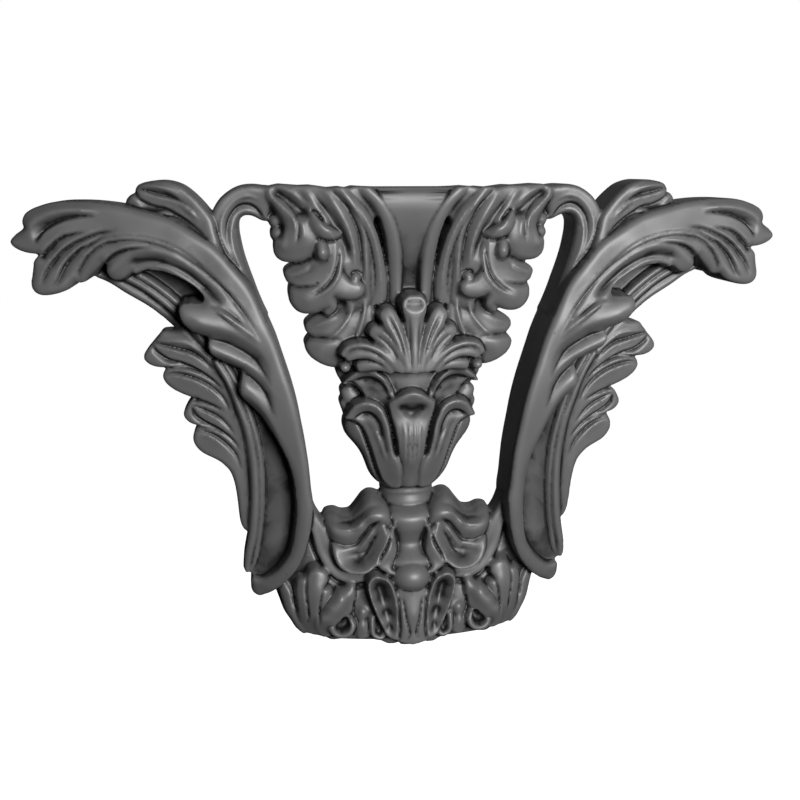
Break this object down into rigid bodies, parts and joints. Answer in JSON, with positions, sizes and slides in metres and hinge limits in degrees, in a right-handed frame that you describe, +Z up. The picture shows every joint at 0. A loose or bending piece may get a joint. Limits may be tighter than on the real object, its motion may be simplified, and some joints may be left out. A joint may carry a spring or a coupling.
{
  "type": "decorative onlay",
  "caption": "Carved acanthus onlay with a flat back: two leaf wings on scrolled arms around a bell capital, palmette, leafy cup and leaf bowl.",
  "frame": {"origin": "middle of the flat back, on the symmetry plane, 159 mm above the lowest leaf", "axes": "+X to the viewer's right along the wings, +Y out of the flat back into the wall, +Z up"},
  "size_m": [0.5005, 0.0479, 0.323],
  "materials": {
    "satin_graphite": "dark grey satin paint over cast resin"
  },
  "bodies": {
    "root": {"carved_onlay": "satin_graphite"}
  },
  "joints": []
}
